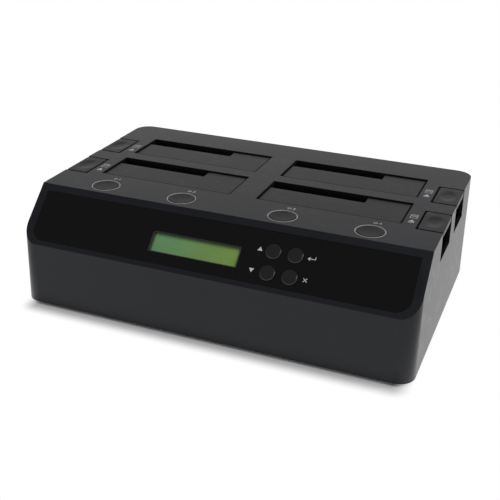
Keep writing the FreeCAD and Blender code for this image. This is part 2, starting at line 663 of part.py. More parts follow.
# Power buttons in the top edge of the front, each inside a ring that carries light up to the top
def make_power_button(name, spot):
    body = new_body(name)
    cap = "(ring_radius - ring_width - press_gap)"
    polygon(sketch_on(body, "cap_half", "XZ_Plane"), [
        ("0", "0"), (cap + " - 0.4", "0"), (cap, "-0.4"), (cap, "-cap_thick"), ("0", "-cap_thick")])
    revolve(body, body.Group[-1], "cap_turned")
    press_stem(body, "(power_board_drop - switch_tall + 1.2)", "cap_thick")
    return place(body, spot, power_y, top)


def make_light_rings():
    rings = []
    for spot in power_spots:
        tube = rod("ring_tube", (spot, power_y, top + " - wall - 1"), "ring_radius",
                   "wall + 1 + ring_proud")
        hollow = rod("ring_hollow", (spot, power_y, top + " - 2 * wall"),
                     "ring_radius - ring_width", "3 * wall")
        rings.append(cut("ring", tube, [hollow]))
    return group("light_rings", rings)


def key_switch(name):
    base = block(name + "_body", ("-switch_side / 2", "-switch_side / 2", "0"),
                 ("switch_side", "switch_side", "switch_tall"))
    hole = block(name + "_hole", ("-press_stem / 2 - press_gap", "-press_stem / 2 - press_gap",
                                  "switch_tall - 2.4"),
                 ("press_stem + 2 * press_gap", "press_stem + 2 * press_gap", "3"))
    return cut(name, base, [hole])


def make_power_board():
    level = "(%s - power_board_drop)" % top
    board = block("power_plate", ("-power_outer - 12", power_y + " - 8", level + " - board_thick"),
                  ("2 * power_outer + 24", "15", "board_thick"))
    bores = [rod("power_bore", (x, power_y, level + " - 2 * board_thick"), "screw_radius + 0.1",
                 "3 * board_thick") for x in ("-power_post", "power_post")]
    switches = []
    for spot in power_spots:
        switches.append(place(key_switch("power_switch"), spot, power_y, level))
    return [cut("power_board", board, bores), group("power_switches", switches)]


# Sloped control panel: glossy plate, screen in its frame, four keys and their board
def make_control_panel():
    body = new_body("control_panel")
    plan = rectangle(sketch_on(body, "panel_plan", "XY_Plane"), "-panel_width / 2", "panel_low",
                     "panel_width", "panel_high - panel_low")
    plate = pad(body, plan, "panel_thick")
    middle = value("(panel_low + panel_high) / 2")
    dress(body, plate, "Fillet", "panel_corner", lambda e: along(e, "z") and e.CenterOfMass.y < middle)
    holes = rectangle(sketch_on(body, "screen_cut", "XY_Plane"), "screen_middle - screen_width / 2",
                      "screen_low", "screen_width", "screen_high - screen_low")
    for x, up in keys.values():
        circle(holes, x, up, "key_radius + press_gap")
    pocket(body, holes, "panel_thick", back=True)
    return on_slope(body, out="-panel_thick - panel_sink")


def make_screen():
    left, low = "(screen_middle - screen_width / 2)", "screen_low"
    wide, tall = "screen_width", "(screen_high - screen_low)"
    level, deep = "-(panel_sink + panel_thick + 0.1 + bezel_deep)", "bezel_deep"
    edge = "(bezel_edge - 0.15)"
    outer = block("bezel_outer", ("0", "0", "0"),
                  (wide + " + 2 * " + edge, tall + " + 2 * " + edge, deep))
    inner = block("bezel_inner", ("bezel_edge + " + edge, "bezel_edge + " + edge, "-1"),
                  (wide + " - 2 * bezel_edge", tall + " - 2 * bezel_edge", deep + " + 2"))
    frame = cut("lcd_bezel", outer, [inner])
    on_slope(frame, left + " - " + edge, low + " - " + edge, level)
    glass = block("lcd_glass", ("0", "0", "0"),
                  (wide + " - 2 * bezel_edge", tall + " - 2 * bezel_edge", deep + " - glass_drop"))
    on_slope(glass, left + " + bezel_edge", low + " + bezel_edge", level)
    back_level = "-(control_board_drop)"
    module = block("lcd_module", ("0", "0", "0"),
                   (wide + " + 12", tall + " + 8",
                    "control_board_drop - panel_sink - panel_thick - 0.1 - bezel_deep"))
    on_slope(module, left + " - 6", low + " - 4", back_level)
    return [frame, glass, module]


def make_control_board():
    board = block("control_board", ("0", "0", "0"), ("150", "35", "board_thick"))
    on_slope(board, "-68", "3", "-control_board_drop - board_thick")
    switches = []
    for name, (x, up) in keys.items():
        switches.append(on_slope(key_switch(name + "_switch"), x, up, "-control_board_drop"))
    return [board, group("key_switches", switches)]


def make_key(name, x, up):
    body = new_body(name)
    low = "-(panel_sink + panel_thick)"
    polygon(sketch_on(body, "key_half", "XZ_Plane"), [
        ("0", "key_raise"), ("key_radius - 0.5", "key_raise"), ("key_radius", "key_raise - 0.5"),
        ("key_radius", low + " - 0.2"), ("key_radius + 0.6", low + " - 0.2"),
        ("key_radius + 0.6", low + " - 1.2"), ("0", low + " - 1.2")])
    revolve(body, body.Group[-1], "key_turned")
    press_stem(body, "(control_board_drop - switch_tall + 1.2)", "(panel_sink + panel_thick + 1.2)")
    return on_slope(body, x, up)


# Inside: main board with chips, heat sink and rear ports
def make_main_board():
    board = block("main_plate", ("-board_half", board_low_y, "board_height"),
                  ("2 * board_half", board_high_y + " - " + board_low_y, "board_thick"))
    bores = [rod("main_bore", (x, y, "board_height - 1"), "screw_radius + 0.1", "board_thick + 2")
             for x, y in board_spots]
    level = "board_height + board_thick"
    chips = [block("chip", ("%d" % x, "%d" % y, level), ("%d" % side, "%d" % side, "1.4"))
             for x, y, side in ((-70, -52, 14), (-8, -54, 16), (52, -52, 14), (16, 72, 14), (-6, 20, 12))]
    sink = new_body("heat_sink")
    base = rectangle(sketch_on(sink, "sink_plan", "XY_Plane"), "-13", "-9", "26", "18")
    pad(sink, base, "2")
    fin_plan = rectangle(sketch_on(sink, "fin_plan", "XY_Plane"), "-13", "-9", "1.2", "18")
    fin = pad(sink, fin_plan, "9")
    fins = sink.newObject("PartDesign::LinearPattern", "fins")
    fins.Originals = [fin]
    fins.Direction = (fin_plan, ["H_Axis"])
    fins.Occurrences = 7
    bind(fins, "Length", "24.8")
    sink.Tip = fins
    place(sink, "50", "79", level)
    return [cut("main_board", board, bores), group("chips", chips), sink]


def port(name, across, wide, tall, deep, hollow_wide, hollow_tall, tongue):
    """Port shell on the main board: collar in the rear wall, hollow and tongue."""
    face = back + " - 0.3"
    floor = "board_height + board_thick"
    collar = block(name + "_collar", ("%s - %s / 2 + 0.1" % (across, wide), face + " - " + deep,
                                      "port_level - %s / 2 + 0.1" % tall),
                   (wide + " - 0.2", deep, tall + " - 0.2"))
    seat = block(name + "_seat", ("%s - %s / 2 + 0.1" % (across, wide), face + " - " + deep, floor),
                 (wide + " - 0.2", deep + " - wall - 0.3", "port_level - " + floor.replace("+", "-")))
    hollow = block(name + "_hollow", ("%s - (%s) / 2" % (across, hollow_wide),
                                      face + " - %s + 3" % deep, "port_level - (%s) / 2" % hollow_tall),
                   (hollow_wide, deep, hollow_tall))
    shell = cut(name + "_shell", fuse(name + "_block", [collar, seat]), [hollow])
    blade = block(name + "_tongue", ("%s - (%s) / 2 + 1.4" % (across, hollow_wide),
                                     face + " - %s + 2" % deep, "port_level - %s / 2" % tongue),
                  (hollow_wide + " - 2.8", deep + " - 4", tongue))
    return fuse(name, [shell, blade])


def make_ports():
    usb = port("usb_port", "usb_across", "usb_width", "usb_tall", "16", "usb_width - 3.4",
               "usb_tall - 3.2", "3")
    esata = port("esata_port", "esata_across", "esata_width", "esata_tall", "14", "esata_width - 2",
                 "esata_tall - 2", "1.2")
    face = back + " - 0.3"
    collar = block("inlet_collar", ("inlet_across - inlet_face / 2 + 0.1", face + " - inlet_body + 2",
                                    "port_level - inlet_face / 2 + 0.1"),
                   ("inlet_face - 0.2", "inlet_body - 2", "inlet_face - 0.2"))
    floor = "board_height + board_thick"
    rest = block("inlet_block", ("inlet_across - inlet_radius - 2.2", face + " - inlet_body - wall",
                                 floor), ("2 * inlet_radius + 4.4", "inlet_body - 0.4",
                                          "port_level + inlet_radius + 2 - board_height - board_thick"))
    bore = rod("inlet_bore", ("inlet_across", face + " - inlet_deep", "port_level"), "inlet_radius",
               "inlet_deep + 1", "y")
    inlet = cut("power_inlet", fuse("inlet_solid", [collar, rest]), [bore])
    return [usb, esata, inlet]


def make_rocker():
    hole_wide, hole_tall = "(rocker_width + 2 * press_gap)", "(rocker_tall + 2 * press_gap)"
    outer = block("switch_outer", ("rocker_across - rocker_width / 2 - rocker_wall",
                                   back + " - switch_deep",
                                   "rocker_height - rocker_tall / 2 - rocker_wall"),
                  ("rocker_width + 2 * rocker_wall", "switch_deep",
                   "rocker_tall + 2 * rocker_wall"))
    inner = block("switch_inner", ("rocker_across - %s / 2" % hole_wide, back + " - 7",
                                   "rocker_height - %s / 2" % hole_tall), (hole_wide, "10", hole_tall))
    bore = rod("switch_bore", ("rocker_across - %s / 2 - 0.8" % hole_wide, back + " - rocker_sink",
                               "rocker_height"), "rocker_pin + pin_fit", hole_wide + " + 1.6", "x")
    housing = cut("switch_body", outer, [inner, bore])
    body = new_body("rocker")
    polygon(sketch_on(body, "rocker_side", "YZ_Plane"), [
        ("-1.6", "-rocker_tall / 2 + 0.4"), ("2.3", "-rocker_tall / 2 + 0.4"), ("1.3", "0"),
        ("2.3", "rocker_tall / 2 - 0.4"), ("-1.6", "rocker_tall / 2 - 0.4")])
    pad(body, body.Group[-1], "rocker_width", both=True)
    pin = circle(sketch_on(body, "rocker_pivot", "YZ_Plane"), "0", "0", "rocker_pin")
    pad(body, pin, hole_wide + " + 1.2", both=True)
    body.Placement = FreeCAD.Placement(Vector(), FreeCAD.Rotation(Vector(1, 0, 0), 10))
    place(body, "rocker_across", back + " - rocker_sink", "rocker_height")
    return [housing, body]


# Fan behind the rear grille: square frame, rotor with swept blades on a shaft, four screws
def make_fan():
    low = "(%s - wall - fan_thick)" % back
    corner = "(fan_side / 2 - 4)"
    square = block("fan_square", ("fan_across - fan_side / 2", low, "fan_height - fan_side / 2"),
                   ("fan_side", "fan_thick", "fan_side"))
    tunnel = rod("fan_tunnel", ("fan_across", low + " - 1", "fan_height"), "fan_bore",
                 "fan_thick + 2", "y")
    spots = [("fan_across %s %s" % (a, corner), "fan_height %s %s" % (b, corner))
             for a in "+-" for b in "+-"]
    holes = [rod("fan_hole", (x, low + " - 1", z), "screw_radius + 0.3", "fan_thick + 2", "y")
             for x, z in spots]
    ring = cut("fan_ring", square, [tunnel] + holes)
    motor = rod("fan_motor", ("fan_across", low, "fan_height"), "hub_radius", "1.6", "y")
    shaft = rod("fan_shaft", ("fan_across", low, "fan_height"), "1.5", "fan_thick - 3", "y")
    arms = [block("fan_arm", ("fan_across - fan_bore - 0.5", low, "fan_height - 1.2"),
                  ("2 * fan_bore + 1", "1.4", "2.4")),
            block("fan_arm", ("fan_across - 1.2", low, "fan_height - fan_bore - 0.5"),
                  ("2.4", "1.4", "2 * fan_bore + 1"))]
    frame = fuse("fan_frame", [ring, motor, shaft] + arms)
    rotor = new_body("fan_rotor")
    hub = circle(sketch_on(rotor, "hub_round", "XZ_Plane"), "0", "0", "hub_radius")
    pad(rotor, hub, "fan_thick - 4", both=True)
    sections = []
    for tag, reach, angle in (("root", "hub_radius - 1.2", 48), ("tip", "fan_bore - 0.9", 28)):
        section = sketch_on(rotor, "blade_" + tag, "YZ_Plane", ("0", "0", reach))
        cosine, sine = math.cos(math.radians(angle)), math.sin(math.radians(angle))
        chord, thick = "blade_chord / 2", "0.5"
        corners = []
        for a, b in ((-1, -1), (1, -1), (1, 1), (-1, 1)):
            corners.append(("%.4f * %s - %.4f * %s" % (a * sine, chord, b * cosine, thick),
                            "%.4f * %s + %.4f * %s" % (a * cosine, chord, b * sine, thick)))
        polygon(section, corners)
        sections.append(section)
    blade = rotor.newObject("PartDesign::AdditiveLoft", "blade")
    blade.Profile = sections[0]
    blade.Sections = [sections[1]]
    blade.Ruled = True
    ring_of = rotor.newObject("PartDesign::PolarPattern", "blades")
    ring_of.Originals = [blade]
    ring_of.Axis = (hub, ["N_Axis"])
    ring_of.Angle = 360
    bind(ring_of, "Occurrences", "blade_count")
    rotor.Tip = ring_of
    bore = sketch_on(rotor, "hub_bore", "XZ_Plane", ("0", "0", "(fan_thick - 4) / 2"))
    circle(bore, "0", "0", "1.5 + pin_fit")
    pocket(rotor, bore, "fan_thick", both=True)
    place(rotor, "fan_across", low + " + fan_thick / 2 + 0.4", "fan_height")
    screws = []
    for x, z in spots:
        head = rod("fan_screw_head", (x, low + " - screw_head", z), "2 * screw_radius", "screw_head", "y")
        shank = rod("fan_screw_shank", (x, low, z), "screw_radius - pin_fit", "fan_thick", "y")
        screws.append(fuse("fan_screw", [head, shank]))
    return [frame, rotor, group("fan_screws", screws)]


def build():
    made = [make_housing(), make_base_plate(), make_feet()] + make_screws()
    for name, row, side in bays:
        made += [make_well(name, row, side), make_lid(name, row, side),
                 make_eject_button(name, row, side), make_eject_spring(name, row, side),
                 make_lever(name, row, side)]
    made += [make_sockets(), make_lever_pins()] + make_lid_pins()
    made += [make_power_button(name, spot) for name, spot in zip(power_names, power_spots)]
    made += [make_light_rings(), make_control_panel()] + make_power_board() + make_screen()
    made += make_control_board() + make_main_board() + make_ports() + make_rocker() + make_fan()
    made += [make_key(name, x, up) for name, (x, up) in keys.items()]
    doc.recompute()
    bad = [o.Name for o in doc.Objects if "Invalid" in o.State or "Error" in o.State]
    if bad:
        raise ValueError("failed objects: " + ", ".join(bad))
    for part in made:
        if part.Shape.isNull() or not part.Shape.isValid():
            raise ValueError("bad shape: " + part.Label)
    if len({part.Label for part in made}) != len(made):
        raise ValueError("labels repeat")
    os.makedirs("parts", exist_ok=True)
    for part in made:
        part.Shape.exportStep("parts/%s.step" % part.Label)
        box = part.Shape.BoundBox
        print(part.Label, len(part.Shape.Solids), "%.0f" % part.Shape.Volume,
              "%.1f %.1f %.1f  %.1f %.1f %.1f" % (box.XMin, box.YMin, box.ZMin,
                                                  box.XMax, box.YMax, box.ZMax))
    print(len(made), "sub-parts")


build()
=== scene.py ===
import math
import bmesh
import bpy
import numpy as np
from mathutils import Matrix, Vector


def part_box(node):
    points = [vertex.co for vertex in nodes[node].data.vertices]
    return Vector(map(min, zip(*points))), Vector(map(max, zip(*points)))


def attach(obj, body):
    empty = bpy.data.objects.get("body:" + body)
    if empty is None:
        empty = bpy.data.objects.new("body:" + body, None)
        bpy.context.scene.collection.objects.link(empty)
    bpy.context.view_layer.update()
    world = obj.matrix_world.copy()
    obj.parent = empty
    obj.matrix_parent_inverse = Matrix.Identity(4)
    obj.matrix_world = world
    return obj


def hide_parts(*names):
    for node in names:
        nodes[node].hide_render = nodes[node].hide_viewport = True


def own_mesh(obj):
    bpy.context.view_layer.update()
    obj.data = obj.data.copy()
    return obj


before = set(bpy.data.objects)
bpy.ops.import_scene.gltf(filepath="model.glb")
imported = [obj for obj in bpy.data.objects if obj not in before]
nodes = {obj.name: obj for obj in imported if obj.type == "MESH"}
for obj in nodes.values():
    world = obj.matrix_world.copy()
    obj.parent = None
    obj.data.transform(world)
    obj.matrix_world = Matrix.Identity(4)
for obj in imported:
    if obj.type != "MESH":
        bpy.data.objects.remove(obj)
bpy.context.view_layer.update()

bays = ["front_left", "front_right", "rear_left", "rear_right"]
print("frame loaded", len(nodes), "nodes")


def link(tree, source, target):
    tree.links.new(source, target)


def addNode(tree, kind, **settings):
    item = tree.nodes.new(kind)
    for name, value in settings.items():
        if name.startswith("in_"):
            item.inputs[name[3:].replace("_", " ")].default_value = value
        else:
            setattr(item, name, value)
    return item


def addRange(tree, source, low, high, start, end, kind="LINEAR"):
    item = addNode(tree, "ShaderNodeMapRange", interpolation_type=kind)
    for key, value in (("From Min", low), ("From Max", high), ("To Min", start), ("To Max", end)):
        item.inputs[key].default_value = value
    link(tree, source, item.inputs["Value"])
    return item.outputs[0]


def addMath(tree, operation, first, second, clamp=False):
    item = addNode(tree, "ShaderNodeMath", operation=operation, use_clamp=clamp)
    for socket, source in zip(item.inputs, (first, second)):
        if isinstance(source, (int, float)):
            socket.default_value = source
        else:
            link(tree, source, socket)
    return item.outputs[0]


def addSockets(group, wanted, side):
    for name, kind, value in wanted:
        socket = group.interface.new_socket(name=name, in_out=side, socket_type="NodeSocket" + kind)
        if value is not None:
            socket.default_value = value


# Shared effect: fine moulded grain, cloudy tone, settled dust on faces that look up, and light scuffs.
# Colour = base tone shifted by slow noise, then mixed towards dust; height = fine cells plus noise.
def makeMouldedSkin():
    group = bpy.data.node_groups.new("mouldedSkin", "ShaderNodeTree")
    addSockets(group, (("Base", "Color", (0.02, 0.02, 0.02, 1)), ("Grain Size", "Float", 0.4),
                       ("Roughness", "Float", 0.4), ("Dust", "Float", 0.1),
                       ("Scuffs", "Float", 0.1)), "INPUT")
    addSockets(group, (("Color", "Color", None), ("Roughness", "Float", None), ("Height", "Float", None)),
               "OUTPUT")
    enter = group.nodes.new("NodeGroupInput")
    leave = group.nodes.new("NodeGroupOutput")
    place = group.nodes.new("ShaderNodeTexCoord")
    # Grain size is in millimetres, so cells per metre = 1000 / size
    cells = addNode(group, "ShaderNodeTexVoronoi", feature="SMOOTH_F1")
    link(group, place.outputs["Object"], cells.inputs["Vector"])
    link(group, addMath(group, "DIVIDE", 1000, enter.outputs["Grain Size"]), cells.inputs["Scale"])
    fine = addNode(group, "ShaderNodeTexNoise", in_Scale=900.0, in_Detail=3.0)
    cloud = addNode(group, "ShaderNodeTexNoise", in_Scale=14.0, in_Detail=4.0, in_Roughness=0.6)
    streaks = addNode(group, "ShaderNodeTexNoise", in_Scale=70.0, in_Detail=6.0, in_Distortion=1.5)
    for pattern in (fine, cloud, streaks):
        link(group, place.outputs["Object"], pattern.inputs["Vector"])
    shade = addNode(group, "ShaderNodeVectorMath", operation="SCALE")
    link(group, enter.outputs["Base"], shade.inputs[0])
    link(group, addRange(group, cloud.outputs["Fac"], 0.3, 0.7, 0.88, 1.12), shade.inputs["Scale"])
    # Dust mask: upward part of the normal times patchy noise
    facing = group.nodes.new("ShaderNodeNewGeometry")
    parts = group.nodes.new("ShaderNodeSeparateXYZ")
    link(group, facing.outputs["Normal"], parts.inputs[0])
    up = addMath(group, "MULTIPLY", parts.outputs["Z"], streaks.outputs["Fac"], clamp=True)
    dusty = addMath(group, "MULTIPLY", up, enter.outputs["Dust"], clamp=True)
    mix = addNode(group, "ShaderNodeMix", data_type="RGBA")
    mix.inputs["B"].default_value = (0.30, 0.29, 0.28, 1)
    link(group, dusty, mix.inputs["Factor"])
    link(group, shade.outputs[0], mix.inputs["A"])
    link(group, mix.outputs["Result"], leave.inputs["Color"])
    # Scuffs: thin bands of the streak noise lower the roughness, dust raises it
    band = addRange(group, streaks.outputs["Fac"], 0.56, 0.62, 0.0, 0.12)
    worn = addMath(group, "MULTIPLY", band, enter.outputs["Scuffs"])
    rough = addMath(group, "SUBTRACT", enter.outputs["Roughness"], worn)
    link(group, addMath(group, "ADD", rough, dusty, clamp=True), leave.inputs["Roughness"])
    height = addMath(group, "ADD", cells.outputs["Distance"], fine.outputs["Fac"])
    link(group, height, leave.inputs["Height"])
    return group


# Shared effect: painted-shade masks from a box that is mirrored left and right. Distance = the largest of
# |p - middle| - half over the three axes; Edge is a band of painted shade along the box's sides and Inside fills the box with painted shade.
def makePaintedBoxShade():
    group = bpy.data.node_groups.new("paintedBoxShade", "ShaderNodeTree")
    addSockets(group, (("Middle", "Vector", None), ("Half", "Vector", None),
                       ("Reach", "Float", 0.001)), "INPUT")
    addSockets(group, (("Edge", "Float", None), ("Inside", "Float", None)), "OUTPUT")
    enter = group.nodes.new("NodeGroupInput")
    leave = group.nodes.new("NodeGroupOutput")
    place = group.nodes.new("ShaderNodeTexCoord")
    parts = group.nodes.new("ShaderNodeSeparateXYZ")
    link(group, place.outputs["Object"], parts.inputs[0])
    mirrored = group.nodes.new("ShaderNodeCombineXYZ")
    link(group, addMath(group, "ABSOLUTE", parts.outputs["X"], 0), mirrored.inputs["X"])
    link(group, parts.outputs["Y"], mirrored.inputs["Y"])
    link(group, parts.outputs["Z"], mirrored.inputs["Z"])
    offset = addNode(group, "ShaderNodeVectorMath", operation="SUBTRACT")
    link(group, mirrored.outputs[0], offset.inputs[0])
    link(group, enter.outputs["Middle"], offset.inputs[1])
    spread = addNode(group, "ShaderNodeVectorMath", operation="ABSOLUTE")
    link(group, offset.outputs[0], spread.inputs[0])
    beyond = addNode(group, "ShaderNodeVectorMath", operation="SUBTRACT")
    link(group, spread.outputs[0], beyond.inputs[0])
    link(group, enter.outputs["Half"], beyond.inputs[1])
    split = group.nodes.new("ShaderNodeSeparateXYZ")
    link(group, beyond.outputs[0], split.inputs[0])
    span = addMath(group, "MAXIMUM", addMath(group, "MAXIMUM", split.outputs["X"], split.outputs["Y"]),
                   split.outputs["Z"])
    near = addMath(group, "DIVIDE", span, enter.outputs["Reach"])
    away = addMath(group, "ABSOLUTE", near, 0)
    link(group, addRange(group, away, 0.3, 1.0, 1.0, 0.0, "SMOOTHSTEP"), leave.inputs["Edge"])
    link(group, addRange(group, near, -1.0, 0.0, 1.0, 0.0, "SMOOTHSTEP"), leave.inputs["Inside"])
    return group


mouldedSkin = makeMouldedSkin()
paintedBoxShade = makePaintedBoxShade()


# One finish: the shared skin with its own values, bumped into a Principled shader.
# The list of painted shades holds (mask, middle, half, reach, dark share); the strongest mask paints shade
# there: it darkens the skin towards black, dulls it and takes its dust away.
def finish(name, base, rough=0.4, grain=0.4, bump=0.02, dust=0.06, scuffs=0.3, specular=0.5,
           metallic=0.0, coat=0.0, coatRough=0.05, paintedShades=()):
    material = bpy.data.materials.new(name)
    material.use_nodes = True
    tree = material.node_tree
    shader = tree.nodes["Principled BSDF"]
    skin = tree.nodes.new("ShaderNodeGroup")
    skin.node_tree = mouldedSkin
    skin.inputs["Base"].default_value = (*base, 1)
    skin.inputs["Grain Size"].default_value = grain
    skin.inputs["Roughness"].default_value = rough
    skin.inputs["Dust"].default_value = dust
    skin.inputs["Scuffs"].default_value = scuffs
    paintedShadeMask = None
    for output, middle, half, reach, share in paintedShades:
        shade = tree.nodes.new("ShaderNodeGroup")
        shade.node_tree = paintedBoxShade
        shade.inputs["Middle"].default_value = middle
        shade.inputs["Half"].default_value = half
        shade.inputs["Reach"].default_value = reach
        part = addMath(tree, "MULTIPLY", shade.outputs[output], share)
        paintedShadeMask = part if paintedShadeMask is None else addMath(tree, "MAXIMUM", paintedShadeMask, part)
    if paintedShadeMask is not None:
        # Painted shade: the masks pull the base colour towards near-black and the roughness up to 1
        dark = addNode(tree, "ShaderNodeMix", data_type="RGBA")
        dark.inputs["A"].default_value = (*base, 1)
        dark.inputs["B"].default_value = (0.0006, 0.0006, 0.0007, 1)
        link(tree, paintedShadeMask, dark.inputs["Factor"])
        link(tree, dark.outputs["Result"], skin.inputs["Base"])
        link(tree, addRange(tree, paintedShadeMask, 0.0, 1.0, rough, 1.0), skin.inputs["Roughness"])
        clean = addRange(tree, paintedShadeMask, 0.0, 1.0, dust, 0.0)
        link(tree, clean, skin.inputs["Dust"])
    link(tree, skin.outputs["Color"], shader.inputs["Base Color"])
    link(tree, skin.outputs["Roughness"], shader.inputs["Roughness"])
    bumpNode = addNode(tree, "ShaderNodeBump", in_Strength=bump * 10, in_Distance=0.0001)
    link(tree, skin.outputs["Height"], bumpNode.inputs["Height"])
    link(tree, bumpNode.outputs["Normal"], shader.inputs["Normal"])
    shader.inputs["Specular IOR Level"].default_value = specular
    shader.inputs["Metallic"].default_value = metallic
    shader.inputs["Coat Weight"].default_value = coat
    shader.inputs["Coat Roughness"].default_value = coatRough
    return material


def wear(node, material):
    nodes[node].data.materials.clear()
    nodes[node].data.materials.append(material)


def addMesh(name, points, faces, smooth=True):
    mesh = bpy.data.meshes.new(name)
    mesh.from_pydata(points.tolist(), [], faces.tolist() if hasattr(faces, "tolist") else faces)
    mesh.validate()
    mesh.shade_smooth() if smooth else mesh.shade_flat()
    piece = bpy.data.objects.new(name, mesh)
    bpy.context.scene.collection.objects.link(piece)
    return piece


# Surfaces from grids of points (rows, columns, 3): each cell is one quad and the columns close on themselves
def sheetMesh(name, grids, sharp=40):
    points, quads, start = [], [], 0
    for grid in grids:
        rows, columns = grid.shape[:2]
        index = np.arange(rows * columns).reshape(rows, columns) + start
        index = np.hstack([index, index[:, :1]])
        corners = [index[:-1, :-1], index[1:, :-1], index[1:, 1:], index[:-1, 1:]]
        quads.append(np.stack(corners, -1).reshape(-1, 4))
        points.append(grid.reshape(-1, 3))
        start += rows * columns
    piece = addMesh(name, np.vstack(points), np.vstack(quads))
    weld(piece)
    piece.data.set_sharp_from_angle(angle=math.radians(sharp))
    return piece


# Closes seams and poles and turns the faces outward
def weld(piece):
    shape = bmesh.new()
    shape.from_mesh(piece.data)
    bmesh.ops.remove_doubles(shape, verts=shape.verts, dist=1e-7)
    bmesh.ops.recalc_face_normals(shape, faces=shape.faces)
    shape.to_mesh(piece.data)
    shape.free()


def moved(points, place):
    return points @ np.array(place.to_3x3()).T + np.array(place.translation)


# A turned solid: the profile (radius, height) swept round the axis; radius 0 is a pole
def turned(name, profile, place, steps=72):
    angle = np.linspace(0, 2 * np.pi, steps, endpoint=False)
    profile = np.array(profile, float)
    points = np.stack([profile[:, :1] * np.cos(angle), profile[:, :1] * np.sin(angle),
                       np.repeat(profile[:, 1:], steps, 1)], -1)
    return sheetMesh(name, [moved(points, place)])


def soften(piece, width, angle=30, segments=2):
    join = piece.modifiers.new("join", "WELD")
    join.merge_threshold = 1e-6
    edge = piece.modifiers.new("edge", "BEVEL")
    edge.width = width
    edge.segments = segments
    edge.limit_method = "ANGLE"
    edge.angle_limit = math.radians(angle)
    edge.harden_normals = False


def dressPiece(piece, material, body, slot, *stands):
    piece.data.materials.append(material)
    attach(piece, body)
    if stands:
        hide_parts(*stands)


# Painted shade boxes: the gaps where the lids and the eject pads meet the shell, as (middle, half) of each
# mirrored pair, and the room below the top and below the pads, which is painted dark as shade
paintedShadeBoxes = {
    "lids": [((0.0631, -0.0062, 0.083), (0.0525, 0.019, 0.004)),
             ((0.0631, 0.0451, 0.083), (0.0525, 0.019, 0.004))],
    "pads": [((0.1468, -0.014, 0.083), (0.02, 0.0168, 0.0205)),
             ((0.1468, 0.0373, 0.083), (0.02, 0.0168, 0.0205))],
    "inside": ((0, 0.01765, 0), (0.143, 0.07565, 0.081)), "insideReach": 0.0004,
    "belowPads": ((0, 0, 0), (0.2, 0.2, 0.0795)), "belowReach": 0.0005,
    "lidEdge": 0.0009, "padEdge": 0.0008, "share": 0.97,
    "lidGap": (0.0005, 0.0007), "padGap": (0.0005, 0.0005), "ownEdge": 0.0008, "ownShare": 0.9,
}


# Painted shade bands along the edges of a piece that fills an opening: the opening's box less the gap round
# the piece
def ownPaintedShade(boxes, gap):
    return [("Edge", middle, (half[0] - gap[0], half[1] - gap[1], half[2]),
             paintedShadeBoxes["ownEdge"], paintedShadeBoxes["ownShare"]) for middle, half in boxes]


# Painted shade on the shell: dark bands along the lid and pad gaps, and near-black inside the shell
shellPaintedShade = [("Edge", *box, paintedShadeBoxes["lidEdge"], paintedShadeBoxes["share"]) for box in paintedShadeBoxes["lids"]]
shellPaintedShade += [("Edge", *box, paintedShadeBoxes["padEdge"], paintedShadeBoxes["share"]) for box in paintedShadeBoxes["pads"]]
shellPaintedShade.append(("Inside", *paintedShadeBoxes["inside"], paintedShadeBoxes["insideReach"], 1.0))
# Painted shade on the lids along their gaps, and on the pads along their gaps and below the top
lidPaintedShade = ownPaintedShade(paintedShadeBoxes["lids"], paintedShadeBoxes["lidGap"])
padPaintedShade = ownPaintedShade(paintedShadeBoxes["pads"], paintedShadeBoxes["padGap"])
padPaintedShade.append(("Inside", *paintedShadeBoxes["belowPads"], paintedShadeBoxes["belowReach"], 1.0))

shellFinish = finish("shellSatin", (0.0100, 0.0110, 0.0150), rough=0.32, grain=0.35, bump=0.012, dust=0.02,
                     specular=0.28, paintedShades=shellPaintedShade)
lidFinish = finish("lidSatin", (0.0095, 0.0100, 0.0130), rough=0.34, grain=0.35, bump=0.012, dust=0.02,
                   specular=0.24, paintedShades=lidPaintedShade)
padFinish = finish("padSatin", (0.0105, 0.0108, 0.0130), rough=0.38, grain=0.3, bump=0.01, dust=0.02,
                   specular=0.26, paintedShades=padPaintedShade)
capFinish = finish("capSatin", (0.0080, 0.0082, 0.0100), rough=0.4, grain=0.3, bump=0.01, dust=0.02,
                   specular=0.22)
keyFinish = finish("keySatin", (0.0085, 0.0087, 0.0100), rough=0.24, grain=0.3, bump=0.008, dust=0.0,
                   specular=0.7)
panelFinish = finish("panelGloss", (0.0022, 0.0022, 0.0026), rough=0.08, grain=2.5, bump=0.0005,
                     dust=0.004, scuffs=0.1, specular=0.4)
# Bay wells: near-black, darker than the shell; partly their own black plastic, partly painted shade for the
# dark inside of the bays
bayFinish = finish("bayMatt", (0.0015, 0.0015, 0.0017), rough=0.7, grain=0.5, bump=0.03, dust=0.0,
                   specular=0.15)
baseFinish = finish("baseMatt", (0.012, 0.012, 0.013), rough=0.55, grain=0.6, bump=0.04, dust=0.0)
footFinish = finish("footRubber", (0.012, 0.012, 0.012), rough=0.85, grain=0.8, bump=0.06, dust=0.05)
steelFinish = finish("screwSteel", (0.42, 0.42, 0.43), rough=0.32, grain=0.2, bump=0.01, dust=0.0,
                     metallic=1.0)
springFinish = finish("springSteel", (0.30, 0.30, 0.31), rough=0.3, grain=0.2, bump=0.01, metallic=1.0)
leverFinish = finish("leverNylon", (0.05, 0.05, 0.052), rough=0.5, grain=0.5, bump=0.03)
socketFinish = finish("socketBlack", (0.004, 0.004, 0.0045), rough=0.5, grain=0.4, bump=0.02, dust=0.0)
boardFinish = finish("boardGreen", (0.012, 0.07, 0.03), rough=0.3, grain=1.6, bump=0.02, dust=0.03)
bezelFinish = finish("bezelPaint", (0.045, 0.047, 0.045), rough=0.4, grain=0.3, bump=0.01)
aluFinish = finish("heatSinkAlu", (0.45, 0.45, 0.47), rough=0.35, grain=0.5, bump=0.02, metallic=1.0)
